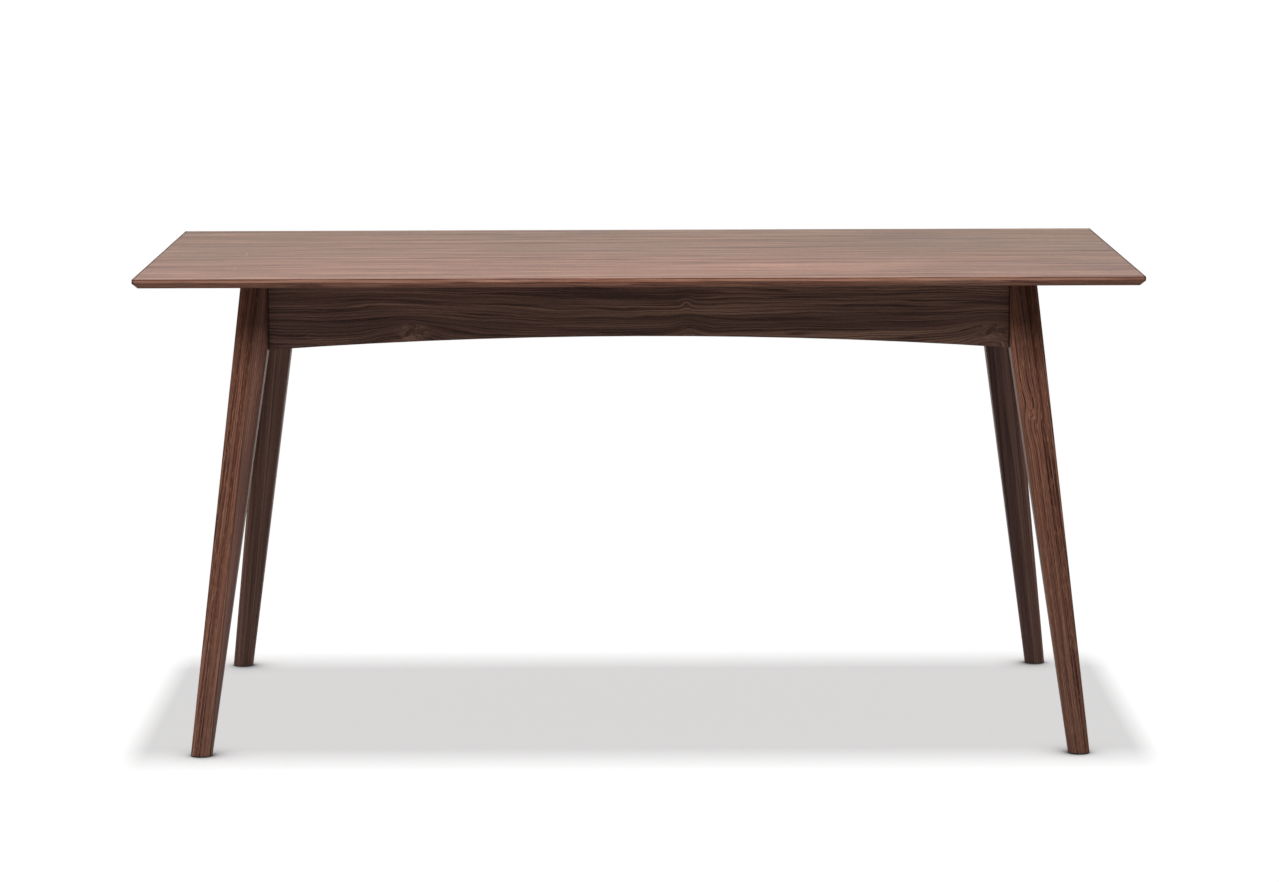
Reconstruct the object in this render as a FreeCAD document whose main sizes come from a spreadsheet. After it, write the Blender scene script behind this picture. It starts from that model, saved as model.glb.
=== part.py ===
import FreeCAD, Part
import math
import os
import Sketcher

# A dining table, 1600 x 800 mm: a veneered top with solid lippings and an undercut edge, an apron
# frame with arched lower edges, and four legs that splay both ways and taper from a rounded square
# to a round foot. Corner blocks are keyed and glued into the aprons, and hanger bolts through them
# draw each leg against the ends of two aprons. Cross rails are tenoned into the long aprons.
#
# Millimetres. X along the table, front at -Y, Z up, origin on the floor under the centre of the top.
# The four corners are alike about their own diagonals, so each corner's pieces are drawn once in a
# corner frame (origin under the foot's centre, leg leaning towards -X and -Y) and turned into place.

Vector = FreeCAD.Vector

# Driving sizes: name, value in mm (angles in degrees), what it is.
SIZES = [
    ("table_height", 775.0, "floor to the top face"),
    ("top_length", 1600.0, "length of the top"),
    ("top_width", 800.0, "width of the top"),
    ("top_thickness", 15.0, "thickness of the top, veneers included"),
    ("veneer_thickness", 0.6, "face and backing veneer"),
    ("lipping_width", 30.0, "solid wood lipping round the core"),
    ("bevel_size", 8.5, "undercut under the top's edge, at 45 degrees"),
    ("top_rounding", 1.0, "radius of the top's upper edge"),
    ("foot_inset_x", 93.0, "end of the top to the foot's centre"),
    ("foot_inset_y", 34.5, "front of the top to the foot's centre"),
    ("splay_angle", 7.3, "lean of each leg, along the table and across it"),
    ("leg_width", 59.0, "leg blank under the top, before the joint faces are cut"),
    ("foot_width", 35.0, "diameter of the foot"),
    ("foot_flat", 1.5, "width of the flat left on each side of the round foot"),
    ("foot_chamfer", 0.8, "chamfer round the foot's lower edge"),
    ("outer_radius", 22.0, "outer corner of the leg, under the top"),
    ("side_radius", 5.0, "leg corner beside an apron, under the top"),
    ("side_radius_low", 7.0, "leg corner beside an apron, at the apron's lower end"),
    ("apron_depth", 112.0, "height of an apron at its ends"),
    ("apron_thickness", 20.0, "thickness of the aprons"),
    ("apron_setback", 13.0, "leg's outer face, under the top, to the apron's face"),
    ("long_arch_rise", 20.5, "rise of the arch under the front and back aprons"),
    ("short_arch_rise", 9.0, "rise of the arch under the end aprons"),
    ("apron_chamfer", 1.2, "chamfer along the aprons' lower edges"),
    ("block_height", 75.0, "height of the corner blocks"),
    ("block_thickness", 36.0, "thickness of a corner block along the bolts"),
    ("block_gap", 3.0, "space left between block and leg, so that the bolts can draw up"),
    ("block_tip", 12.0, "thickness at a corner block's blunted tips"),
    ("bolt_diameter", 8.0, "hanger bolts"),
    ("bolt_clearance", 0.5, "radial clearance of the bolts in the corner blocks"),
    ("bolt_drop", 21.0, "underside of the top to the upper bolt"),
    ("bolt_spacing", 35.0, "upper to lower bolt"),
    ("bolt_grip", 35.0, "length of bolt screwed into the leg"),
    ("bolt_point", 6.0, "length of the bolt's pointed end"),
    ("bolt_overhang", 7.0, "length of bolt past its nut"),
    ("bore_clearance", 0.1, "radial clearance of bolts in their washers, nuts and pilot holes"),
    ("pilot_overdrill", 2.0, "depth of a pilot hole past the bolt's point"),
    ("washer_diameter", 24.0, "wide washers under the nuts"),
    ("washer_thickness", 2.0, "thickness of the washers"),
    ("nut_width", 13.0, "hexagon nut across the flats"),
    ("nut_height", 6.5, "height of the nuts"),
    ("key_reach", 34.0, "inside corner of the frame to the middle of a corner block's key"),
    ("key_width", 6.0, "width of the keys that glue a corner block into two aprons"),
    ("key_length", 5.0, "length of the keys"),
    ("key_clearance", 0.5, "room for glue at the end of a key"),
    ("rail_inset", 230.0, "middle of the table to a cross rail"),
    ("rail_width", 60.0, "width of the cross rails"),
    ("rail_height", 22.0, "height of the cross rails"),
    ("rail_rounding", 2.0, "radius of the cross rails' lower edges"),
    ("tenon_width", 44.0, "width of the cross rails' stub tenons"),
    ("tenon_height", 10.0, "height of the tenons"),
    ("tenon_length", 11.0, "length of the tenons"),
    ("tenon_clearance", 1.0, "room for glue at the end of a tenon"),
    ("glide_diameter", 22.0, "foot glides"),
    ("glide_thickness", 1.5, "height of the foot glides"),
    ("glide_chamfer", 0.5, "chamfer round the glides' lower edge"),
    ("cut_overrun", 1.0, "how far a cut starts outside the wood"),
]

doc = FreeCAD.newDocument("dining_table")
sheet = doc.addObject("Spreadsheet::Sheet", "Sizes")
for row, (alias, size, meaning) in enumerate(SIZES, start=1):
    sheet.set(f"A{row}", meaning)
    sheet.set(f"B{row}", str(size))
    sheet.setAlias(f"B{row}", alias)
doc.recompute()

# Worked-out sizes, as expressions of the sheet.
ROOT2 = "sqrt(2)"
UNDERSIDE = "(Sizes.table_height - Sizes.top_thickness)"
HALF_LENGTH = "(Sizes.top_length / 2)"
HALF_WIDTH = "(Sizes.top_width / 2)"
FOOT_X = f"({HALF_LENGTH} - Sizes.foot_inset_x)"
FOOT_Y = f"({HALF_WIDTH} - Sizes.foot_inset_y)"
APRON_END = f"({UNDERSIDE} - Sizes.apron_depth)"
LEAN = "tan(Sizes.splay_angle * 1 deg)"

# In the corner frame. The leg's centre at a height z is at (-lean * z, -lean * z).
FOOT_CENTRE = f"(-{LEAN} * Sizes.glide_thickness)"
APRON_END_CENTRE = f"(-{LEAN} * {APRON_END})"
UNDERSIDE_CENTRE = f"(-{LEAN} * {UNDERSIDE})"
LEG_WIDTH_LOW = (
    f"(Sizes.foot_width + (Sizes.leg_width - Sizes.foot_width)"
    f" * ({APRON_END} - Sizes.glide_thickness) / ({UNDERSIDE} - Sizes.glide_thickness))"
)
# Both joint faces stand where the leg's inner sides meet the aprons' lower ends.
JOINT = f"({APRON_END_CENTRE} - {LEG_WIDTH_LOW} / 2)"
APRON_FACE = f"({UNDERSIDE_CENTRE} + Sizes.leg_width / 2 - Sizes.apron_setback)"
APRON_BACK = f"({APRON_FACE} - Sizes.apron_thickness)"

# Distances inwards along the corner's diagonal, from the inside corner of the apron frame.
SEAT_FLAT = f"(({APRON_BACK} - {JOINT}) / {ROOT2})"
BLOCK_OUTER = f"({SEAT_FLAT} + Sizes.block_gap)"
BLOCK_INNER = f"({BLOCK_OUTER} + Sizes.block_thickness)"

# Heights.
BLOCK_BOTTOM = f"({UNDERSIDE} - Sizes.block_height)"
LOWER_BOLT = f"({UNDERSIDE} - Sizes.bolt_drop - Sizes.bolt_spacing)"
RAIL_MIDDLE = f"({UNDERSIDE} - Sizes.rail_height / 2)"
CORE_BOTTOM = f"({UNDERSIDE} + Sizes.veneer_thickness)"
CORE_HEIGHT = "(Sizes.top_thickness - 2 * Sizes.veneer_thickness)"

BOLT_RADIUS = "(Sizes.bolt_diameter / 2)"

# Corners: name, signs of X and Y, quarter turns of the corner frame.
CORNERS = [
    ("back_right", 1, 1, 0),
    ("back_left", -1, 1, 1),
    ("front_left", -1, -1, 2),
    ("front_right", 1, -1, 3),
]

# Two heights nearer to each other than this are the same height.
SAME = 1e-4


def value(expression):
    """The number that an expression of the sheet gives."""
    found = sheet.evalExpression(expression)
    return float(getattr(found, "Value", found))


def world_x(local):
    """World X of a distance in the back right corner's frame."""
    return f"({FOOT_X} + {local})"


def world_y(local):
    """World Y of a distance in the back right corner's frame."""
    return f"({FOOT_Y} + {local})"


def new_body(label):
    """A PartDesign body that may hold several separate solids."""
    body = doc.addObject("PartDesign::Body", label)
    body.Label = label
    body.AllowCompound = True
    return body


def origin_feature(body, role):
    """A plane or axis of the body's own origin."""
    return next(feature for feature in body.Origin.OriginFeatures if feature.Role == role)


def new_sketch(body, name, plane="XY_Plane", at=("0", "0", "0"), turn=0.0):
    """A sketch on an origin plane, moved by expressions in that plane's axes and turned about its Y."""
    sketch = body.newObject("Sketcher::SketchObject", name)
    sketch.AttachmentSupport = [(origin_feature(body, plane), "")]
    sketch.MapMode = "FlatFace"
    sketch.AttachmentOffset = FreeCAD.Placement(Vector(), FreeCAD.Rotation(Vector(0, 1, 0), turn))
    for axis, expression in zip("xyz", at):
        sketch.setExpression(f"AttachmentOffset.Base.{axis}", expression)
    return sketch


def bind(sketch, constraint, expression):
    """Adds a constraint whose size follows an expression."""
    index = sketch.addConstraint(constraint)
    sketch.setExpression(f"Constraints[{index}]", expression)


def place_point(sketch, line, end, point):
    """Ties one end of a line or arc to a point given by two expressions."""
    for kind, expression, axis in (("DistanceX", point[0], -2), ("DistanceY", point[1], -1)):
        if expression == "0":
            sketch.addConstraint(Sketcher.Constraint("PointOnObject", line, end, axis))
        else:
            size = value(expression)
            bind(sketch, Sketcher.Constraint(kind, -1, 1, line, end, size), expression)


def draw_polygon(sketch, points):
    """A closed outline through points given by pairs of expressions."""
    first = sketch.GeometryCount
    spots = [Vector(value(x), value(y), 0) for x, y in points]
    count = len(spots)
    for i in range(count):
        sketch.addGeometry(Part.LineSegment(spots[i], spots[(i + 1) % count]), False)
    for i in range(count):
        following = first + (i + 1) % count
        sketch.addConstraint(Sketcher.Constraint("Coincident", first + i, 2, following, 1))
    for i, point in enumerate(points):
        place_point(sketch, first + i, 1, point)


def draw_rectangle(sketch, x_span, y_span):
    """A rectangle between two pairs of expressions."""
    draw_polygon(
        sketch,
        [
            (x_span[0], y_span[0]),
            (x_span[1], y_span[0]),
            (x_span[1], y_span[1]),
            (x_span[0], y_span[1]),
        ],
    )


def draw_circle(sketch, centre, radius):
    """A circle with its centre and radius given by expressions."""
    middle = Vector(value(centre[0]), value(centre[1]), 0)
    circle = sketch.addGeometry(Part.Circle(middle, Vector(0, 0, 1), value(radius)), False)
    place_point(sketch, circle, 3, centre)
    bind(sketch, Sketcher.Constraint("Radius", circle, value(radius)), radius)


def draw_leg_section(sketch, low, high, radii):
    """A rounded square from (low, low) to (high, high). radii: inner, side, outer corner."""
    inner, side, outer = radii
    near, far = value(low), value(high)
    # Corner, its signs, radius and the angle where its arc starts.
    corners = [
        (near, near, 1, 1, inner, 180),
        (far, near, -1, 1, side, 270),
        (far, far, -1, -1, outer, 0),
        (near, far, 1, -1, side, 90),
    ]
    names = {near: low, far: high}
    arcs = []
    for x, y, sign_x, sign_y, radius, start in corners:
        size = value(radius)
        circle = Part.Circle(Vector(x + sign_x * size, y + sign_y * size, 0), Vector(0, 0, 1), size)
        arcs.append(Part.ArcOfCircle(circle, math.radians(start), math.radians(start + 90)))
    for arc in arcs:
        sketch.addGeometry(arc, False)
    for i in range(4):
        sketch.addGeometry(Part.LineSegment(arcs[i].EndPoint, arcs[(i + 1) % 4].StartPoint), False)
    for i in range(4):
        side_line = 4 + i
        sketch.addConstraint(Sketcher.Constraint("Tangent", i, 2, side_line, 1))
        sketch.addConstraint(Sketcher.Constraint("Tangent", side_line, 2, (i + 1) % 4, 1))
    for i, (x, y, sign_x, sign_y, radius, _) in enumerate(corners):
        centre_x = f"{names[x]} + {sign_x} * {radius}"
        centre_y = f"{names[y]} + {sign_y} * {radius}"
        place_point(sketch, i, 3, (centre_x, centre_y))
        bind(sketch, Sketcher.Constraint("Radius", i, value(radius)), radius)


def finish_feature(body, feature):
    """Makes the feature the body's tip and computes it."""
    body.Tip = feature
    doc.recompute()
    return feature


def pad(body, name, sketch, length):
    """A pad of a sketch, its length given by an expression."""
    feature = body.newObject("PartDesign::Pad", name)
    feature.Profile = sketch
    feature.setExpression("Length", length)
    return finish_feature(body, feature)


def pocket(body, name, sketch, depth):
    """A pocket of a sketch. It has to take something away."""
    before = body.Shape.Volume
    feature = body.newObject("PartDesign::Pocket", name)
    feature.Profile = sketch
    feature.setExpression("Length", depth)
    finish_feature(body, feature)
    if feature.Shape.Volume >= before:
        raise RuntimeError(f"{body.Label}: {name} cuts nothing")
    return feature


def turn_solid(body, name, sketch, axis="H_Axis"):
    """A full revolution of a sketch about one of its axes."""
    feature = body.newObject("PartDesign::Revolution", name)
    feature.Profile = sketch
    feature.ReferenceAxis = (sketch, [axis])
    feature.Angle = 360
    return finish_feature(body, feature)


def pair_up(body, name, length, originals=None):
    """The whole shape, or the features named, once more at a height above."""
    feature = body.newObject("PartDesign::LinearPattern", name)
    if originals:
        feature.Originals = originals
    else:
        feature.TransformMode = "Whole shape"
    feature.Direction = (origin_feature(body, "Z_Axis"), [""])
    feature.setExpression("Length", length)
    feature.Occurrences = 2
    return finish_feature(body, feature)


def mirror_all(body, name, role):
    """The whole shape and its mirror image about an origin plane."""
    feature = body.newObject("PartDesign::Mirrored", name)
    feature.TransformMode = "Whole shape"
    feature.MirrorPlane = (origin_feature(body, role), [""])
    return finish_feature(body, feature)


def mirror_to_corners(body):
    """Repeats one corner's pieces in all four corners."""
    mirror_all(body, f"{body.Label}_to_left", "YZ_Plane")
    mirror_all(body, f"{body.Label}_to_front", "XZ_Plane")


def round_edges(body, name, base, edges, radius):
    """A fillet on the named edges of a feature."""
    feature = body.newObject("PartDesign::Fillet", name)
    feature.Base = (base, edges)
    feature.setExpression("Radius", radius)
    return finish_feature(body, feature)


def bevel_edges(body, name, base, edges, size):
    """A chamfer at 45 degrees on the named edges of a feature."""
    feature = body.newObject("PartDesign::Chamfer", name)
    feature.Base = (base, edges)
    feature.setExpression("Size", size)
    return finish_feature(body, feature)


def edges_where(shape, test):
    """Names of the edges that pass a test."""
    return [f"Edge{i}" for i, edge in enumerate(shape.Edges, start=1) if test(edge)]


def is_level(edge, height):
    """Whether an edge lies at one height."""
    return abs(edge.BoundBox.ZMin - height) < SAME and abs(edge.BoundBox.ZMax - height) < SAME


def put_in_corner(item, sign_x, sign_y, quarter_turns):
    """Turns a piece of the corner frame into its corner."""
    item.Placement = FreeCAD.Placement(Vector(), FreeCAD.Rotation(Vector(0, 0, 1), 90 * quarter_turns))
    item.setExpression("Placement.Base.x", f"{sign_x} * {FOOT_X}")
    item.setExpression("Placement.Base.y", f"{sign_y} * {FOOT_Y}")


def diagonal_sketch(body, name, inwards, facing=False):
    """In the back right corner of the world, at the lower bolt: a sketch in the upright plane along the
    diagonal, X outwards, or one that faces inwards across it. inwards: from the frame's inside corner."""
    along_x = f"{world_x(APRON_BACK)} - ({inwards}) / {ROOT2}"
    along_y = f"{world_y(APRON_BACK)} - ({inwards}) / {ROOT2}"
    turn = -45.0 if facing else 45.0
    return new_sketch(body, name, "XZ_Plane", (along_x, LOWER_BOLT, f"-({along_y})"), turn)


# ---------------------------------------------------------------- hardware, each kind one group


def build_hanger_bolts():
    """Eight hanger bolts: wood thread and point in the leg, machine thread through the corner block."""
    body = new_body("hanger_bolts")
    sketch = diagonal_sketch(body, "bolt_outline", SEAT_FLAT)
    nut_end = (
        "(-(Sizes.block_gap + Sizes.block_thickness + Sizes.washer_thickness"
        " + Sizes.nut_height + Sizes.bolt_overhang))"
    )
    outline = [
        (nut_end, "0"),
        (nut_end, BOLT_RADIUS),
        ("Sizes.bolt_grip - Sizes.bolt_point", BOLT_RADIUS),
        ("Sizes.bolt_grip", "0"),
    ]
    draw_polygon(sketch, outline)
    turn_solid(body, "bolt", sketch)
    pair_up(body, "bolt_pair", "Sizes.bolt_spacing")
    mirror_to_corners(body)
    return body


def build_washers():
    """Wide washers between corner block and nut."""
    body = new_body("hanger_bolt_washers")
    sketch = diagonal_sketch(body, "washer_outline", BLOCK_INNER, facing=True)
    draw_circle(sketch, ("0", "0"), "Sizes.washer_diameter / 2")
    draw_circle(sketch, ("0", "0"), f"{BOLT_RADIUS} + Sizes.bore_clearance")
    pad(body, "washer", sketch, "Sizes.washer_thickness")
    pair_up(body, "washer_pair", "Sizes.bolt_spacing")
    mirror_to_corners(body)
    return body


def build_nuts():
    """Hexagon nuts on the hanger bolts."""
    body = new_body("hanger_bolt_nuts")
    seat = f"({BLOCK_INNER} + Sizes.washer_thickness)"
    sketch = diagonal_sketch(body, "nut_outline", seat, facing=True)
    flat = "Sizes.nut_width / 2"
    point = "Sizes.nut_width / sqrt(3)"
    hexagon = [
        (flat, f"{point} / 2"),
        ("0", point),
        (f"-{flat}", f"{point} / 2"),
        (f"-{flat}", f"-{point} / 2"),
        ("0", f"-{point}"),
        (flat, f"-{point} / 2"),
    ]
    draw_polygon(sketch, hexagon)
    draw_circle(sketch, ("0", "0"), f"{BOLT_RADIUS} + Sizes.bore_clearance")
    pad(body, "nut", sketch, "Sizes.nut_height")
    pair_up(body, "nut_pair", "Sizes.bolt_spacing")
    mirror_to_corners(body)
    return body


def build_glides():
    """Four plastic discs under the feet, each with a chamfer round its lower edge."""
    body = new_body("foot_glides")
    foot = (world_x(FOOT_CENTRE), "0", f"-{world_y(FOOT_CENTRE)}")
    sketch = new_sketch(body, "glide_outline", "XZ_Plane", foot)
    rim = "Sizes.glide_diameter / 2"
    outline = [
        ("0", "0"),
        (f"{rim} - Sizes.glide_chamfer", "0"),
        (rim, "Sizes.glide_chamfer"),
        (rim, "Sizes.glide_thickness"),
        ("0", "Sizes.glide_thickness"),
    ]
    draw_polygon(sketch, outline)
    turn_solid(body, "disc", sketch, "V_Axis")
    mirror_to_corners(body)
    return body


# ---------------------------------------------------------------- legs and corner blocks


def leg_sections(body):
    """The leg's sections from the sole up: low edge of the foot, foot, shank, apron end and head."""
    foot_radius = "((Sizes.foot_width - Sizes.foot_flat) / 2)"
    foot_low = f"({FOOT_CENTRE} - Sizes.foot_width / 2)"
    foot_high = f"({FOOT_CENTRE} + Sizes.foot_width / 2)"
    apron_end_high = f"({APRON_END_CENTRE} + {LEG_WIDTH_LOW} / 2)"
    foot_radii = (foot_radius, foot_radius, foot_radius)
    apron_end_radii = ("Sizes.side_radius_low", "Sizes.side_radius_low", "Sizes.outer_radius")
    head_radii = ("Sizes.side_radius", "Sizes.side_radius", "Sizes.outer_radius")
    foot_height = "(Sizes.glide_thickness + Sizes.foot_chamfer)"

    def halfway(low, high):
        return f"(({low} + {high}) / 2)"

    sections = [
        (
            "sole",
            "Sizes.glide_thickness",
            f"({foot_low} + Sizes.foot_chamfer)",
            f"({foot_high} - Sizes.foot_chamfer)",
            [f"({radius} - Sizes.foot_chamfer)" for radius in foot_radii],
        ),
        ("foot", foot_height, foot_low, foot_high, foot_radii),
        (
            "shank",
            halfway(foot_height, APRON_END),
            halfway(foot_low, JOINT),
            halfway(foot_high, apron_end_high),
            [halfway(low, high) for low, high in zip(foot_radii, apron_end_radii)],
        ),
        ("apron_end", APRON_END, JOINT, apron_end_high, apron_end_radii),
        ("head", UNDERSIDE, JOINT, f"({UNDERSIDE_CENTRE} + Sizes.leg_width / 2)", head_radii),
    ]
    sketches = []
    for name, height, low, high, radii in sections:
        sketch = new_sketch(body, f"{name}_section", at=("0", "0", height))
        draw_leg_section(sketch, low, high, radii)
        sketches.append(sketch)
    doc.recompute()
    return sketches


def ruled_solid(sections):
    """A solid with straight rulings between sections: flat between lines, part of a cone between arcs."""
    outlines = [section.Shape for section in sections]
    faces = [Part.Face(Part.Wire(Part.sortEdges(end.Edges)[0])) for end in (outlines[0], outlines[-1])]
    for lower, upper in zip(outlines, outlines[1:]):
        for low, high in zip(lower.Edges, upper.Edges):
            if isinstance(low.Curve, Part.Line):
                ends = [vertex.Point for vertex in low.Vertexes + high.Vertexes[::-1]]
                faces.append(Part.Face(Part.makePolygon(ends + ends[:1])))
            else:
                faces.append(Part.makeRuledSurface(low, high))
    shell = Part.Shell(faces)
    shell.sewShape()
    return Part.Solid(shell)


def build_leg(corner, sign_x, sign_y, turns):
    """One leg: round foot, rounded square head, upright joint faces beside the two apron ends."""
    body = new_body(f"{corner}_leg")
    taper = doc.addObject("Part::Feature", f"{corner}_leg_taper")
    taper.Shape = ruled_solid(leg_sections(body))
    body.BaseFeature = taper
    doc.recompute()

    # A flat across the inner corner faces the corner block.
    flat = new_sketch(body, "block_flat_outline", at=("0", "0", UNDERSIDE))
    outside = f"({JOINT} - Sizes.cut_overrun)"
    past = f"({APRON_BACK} + Sizes.cut_overrun)"
    draw_polygon(flat, [(outside, outside), (past, outside), (outside, past)])
    pocket(body, "block_flat", flat, "Sizes.block_height + Sizes.block_gap")

    # Pilot holes for the two hanger bolts, square to the flat.
    seat = f"({APRON_BACK} - {SEAT_FLAT} / {ROOT2})"
    pilot = new_sketch(body, "bolt_pilot_outline", "XZ_Plane", (seat, LOWER_BOLT, f"-{seat}"), -45.0)
    draw_circle(pilot, ("0", "0"), f"{BOLT_RADIUS} + Sizes.bore_clearance")
    hole = pocket(body, "bolt_pilot", pilot, "Sizes.bolt_grip + Sizes.pilot_overdrill")
    pair_up(body, "bolt_pilots", "Sizes.bolt_spacing", [hole])
    put_in_corner(body, sign_x, sign_y, turns)
    return body


def build_corner_block(corner, sign_x, sign_y, turns):
    """One corner block, mitred to both aprons, with a key into each and holes for the hanger bolts."""
    body = new_body(f"{corner}_corner_block")
    outer = f"({APRON_BACK} - {BLOCK_OUTER} * {ROOT2})"
    inner = f"({APRON_BACK} - {BLOCK_INNER} * {ROOT2} + Sizes.block_tip)"
    tip = f"({APRON_BACK} - Sizes.block_tip)"
    key_outer = f"({APRON_BACK} - Sizes.key_reach + Sizes.key_width / 2)"
    key_inner = f"({APRON_BACK} - Sizes.key_reach - Sizes.key_width / 2)"
    key_end = f"({APRON_BACK} + Sizes.key_length)"
    half = [
        (APRON_BACK, outer),
        (APRON_BACK, key_outer),
        (key_end, key_outer),
        (key_end, key_inner),
        (APRON_BACK, key_inner),
        (APRON_BACK, inner),
        (tip, inner),
    ]
    plan = new_sketch(body, "block_plan", at=("0", "0", BLOCK_BOTTOM))
    draw_polygon(plan, half + [(y, x) for x, y in reversed(half)])
    pad(body, "block", plan, "Sizes.block_height")

    # Clearance holes for the hanger bolts, along the diagonal.
    seat = f"({APRON_BACK} - {BLOCK_INNER} / {ROOT2})"
    bolt = new_sketch(body, "bolt_hole_outline", "XZ_Plane", (seat, LOWER_BOLT, f"-{seat}"), -45.0)
    draw_circle(bolt, ("0", "0"), f"{BOLT_RADIUS} + Sizes.bolt_clearance")
    bolt_hole = pocket(body, "bolt_hole", bolt, "Sizes.block_thickness + Sizes.cut_overrun")
    pair_up(body, "bolt_holes", "Sizes.bolt_spacing", [bolt_hole])
    put_in_corner(body, sign_x, sign_y, turns)
    return body


# ---------------------------------------------------------------- aprons and cross rails


def build_arched_board(label, plane, half_length, face, rise):
    """A straight board with an arched lower edge, drawn on an upright plane and as thick as an apron."""
    body = new_body(label)
    sketch = new_sketch(body, "apron_outline", plane, ("0", "0", face))
    radius = f"(({half_length} ^ 2 + {rise} ^ 2) / (2 * {rise}))"
    half, low, top = value(half_length), value(APRON_END), value(UNDERSIDE)
    size, lift = value(radius), value(rise)
    centre = Vector(0, low + lift - size, 0)
    spread = math.asin(half / size)
    sketch.addGeometry(Part.LineSegment(Vector(half, low, 0), Vector(half, top, 0)), False)
    sketch.addGeometry(Part.LineSegment(Vector(half, top, 0), Vector(-half, top, 0)), False)
    sketch.addGeometry(Part.LineSegment(Vector(-half, top, 0), Vector(-half, low, 0)), False)
    circle = Part.Circle(centre, Vector(0, 0, 1), size)
    arc = Part.ArcOfCircle(circle, math.pi / 2 - spread, math.pi / 2 + spread)
    sketch.addGeometry(arc, False)
    joins = [(0, 2, 1, 1), (1, 2, 2, 1), (2, 2, 3, 2), (3, 1, 0, 1)]
    for join in joins:
        sketch.addConstraint(Sketcher.Constraint("Coincident", *join))
    place_point(sketch, 0, 1, (half_length, APRON_END))
    place_point(sketch, 1, 1, (half_length, UNDERSIDE))
    place_point(sketch, 2, 1, (f"-{half_length}", UNDERSIDE))
    place_point(sketch, 3, 2, (f"-{half_length}", APRON_END))
    bind(sketch, Sketcher.Constraint("Radius", 3, size), radius)
    board = pad(body, "board", sketch, "Sizes.apron_thickness")
    arris = edges_where(board.Shape, lambda edge: isinstance(edge.Curve, Part.Circle))
    bevel_edges(body, "arch_edges", board, arris, "Sizes.apron_chamfer")
    return body


def inward_cut(sign, inner_face, depth):
    """From outside an apron's inner face to a depth in it, on one side of the table."""
    return f"{sign} * ({inner_face} - Sizes.cut_overrun)", f"{sign} * ({inner_face} + {depth})"


def slot_span(sign, middle, width):
    """A slot's two sides, on one side of the table."""
    return f"{sign} * {middle} - {width} / 2", f"{sign} * {middle} + {width} / 2"


def cut_key_grooves(body, sign, along_x):
    """Grooves for the keys of two corner blocks, stopped at the blocks' lower ends."""
    sketch = new_sketch(body, "key_groove_plan", at=("0", "0", UNDERSIDE))
    depth = "(Sizes.key_length + Sizes.key_clearance)"
    inner_face = world_y(APRON_BACK) if along_x else world_x(APRON_BACK)
    corner = world_x(APRON_BACK) if along_x else world_y(APRON_BACK)
    across = inward_cut(sign, inner_face, depth)
    for end in (-1, 1):
        span = slot_span(end, f"({corner} - Sizes.key_reach)", "Sizes.key_width")
        if along_x:
            draw_rectangle(sketch, span, across)
        else:
            draw_rectangle(sketch, across, span)
    pocket(body, "key_grooves", sketch, "Sizes.block_height")


def cut_rail_mortises(body, sign):
    """Blind mortises for the stub tenons of both cross rails, in a long apron's inner face."""
    sketch = new_sketch(body, "mortise_plan", at=("0", "0", f"{RAIL_MIDDLE} + Sizes.tenon_height / 2"))
    depth = "(Sizes.tenon_length + Sizes.tenon_clearance)"
    across = inward_cut(sign, world_y(APRON_BACK), depth)
    for end in (-1, 1):
        draw_rectangle(sketch, slot_span(end, "Sizes.rail_inset", "Sizes.tenon_width"), across)
    pocket(body, "rail_mortises", sketch, "Sizes.tenon_height")


def build_aprons():
    """The four aprons: front and back between the legs' end joint faces, and the two ends."""
    half_long = world_x(JOINT)
    half_short = world_y(JOINT)
    long_inner = world_y(APRON_BACK)
    long_outer = f"({long_inner} + Sizes.apron_thickness)"
    end_inner = world_x(APRON_BACK)
    end_outer = f"({end_inner} + Sizes.apron_thickness)"
    long_rise = "Sizes.long_arch_rise"
    short_rise = "Sizes.short_arch_rise"
    # A sketch on XZ faces -Y and one on YZ faces +X, so two boards grow outwards from their inner
    # faces, and two grow inwards from their outer faces.
    boards = [
        ("front_apron", "XZ_Plane", half_long, long_inner, long_rise, -1),
        ("back_apron", "XZ_Plane", half_long, f"-{long_outer}", long_rise, 1),
        ("right_apron", "YZ_Plane", half_short, end_inner, short_rise, 1),
        ("left_apron", "YZ_Plane", half_short, f"-{end_outer}", short_rise, -1),
    ]
    aprons = []
    for label, plane, half_length, face, rise, sign in boards:
        apron = build_arched_board(label, plane, half_length, face, rise)
        is_long = plane == "XZ_Plane"
        cut_key_grooves(apron, sign, is_long)
        if is_long:
            cut_rail_mortises(apron, sign)
        aprons.append(apron)
    return aprons


def build_cross_rail(label, sign):
    """A flat cross rail under the top, with a stub tenon into each long apron."""
    body = new_body(label)
    half = world_y(APRON_BACK)
    middle = f"({sign} * Sizes.rail_inset)"
    sketch = new_sketch(body, "rail_section", "XZ_Plane", (middle, RAIL_MIDDLE, f"-{half}"))
    draw_rectangle(
        sketch,
        ("-Sizes.rail_width / 2", "Sizes.rail_width / 2"),
        ("-Sizes.rail_height / 2", "Sizes.rail_height / 2"),
    )
    bar = pad(body, "bar", sketch, f"2 * {half}")
    low = value(f"{UNDERSIDE} - Sizes.rail_height")
    long_side = value(half)
    lower_edges = edges_where(
        bar.Shape, lambda edge: is_level(edge, low) and edge.BoundBox.YLength > long_side
    )
    round_edges(body, "lower_edges", bar, lower_edges, "Sizes.rail_rounding")

    reach = f"({half} + Sizes.tenon_length)"
    tenon = new_sketch(body, "tenon_section", "XZ_Plane", (middle, RAIL_MIDDLE, f"-{reach}"))
    draw_rectangle(
        tenon,
        ("-Sizes.tenon_width / 2", "Sizes.tenon_width / 2"),
        ("-Sizes.tenon_height / 2", "Sizes.tenon_height / 2"),
    )
    pad(body, "tenons", tenon, f"2 * {reach}")
    return body


# ---------------------------------------------------------------- the top


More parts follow.
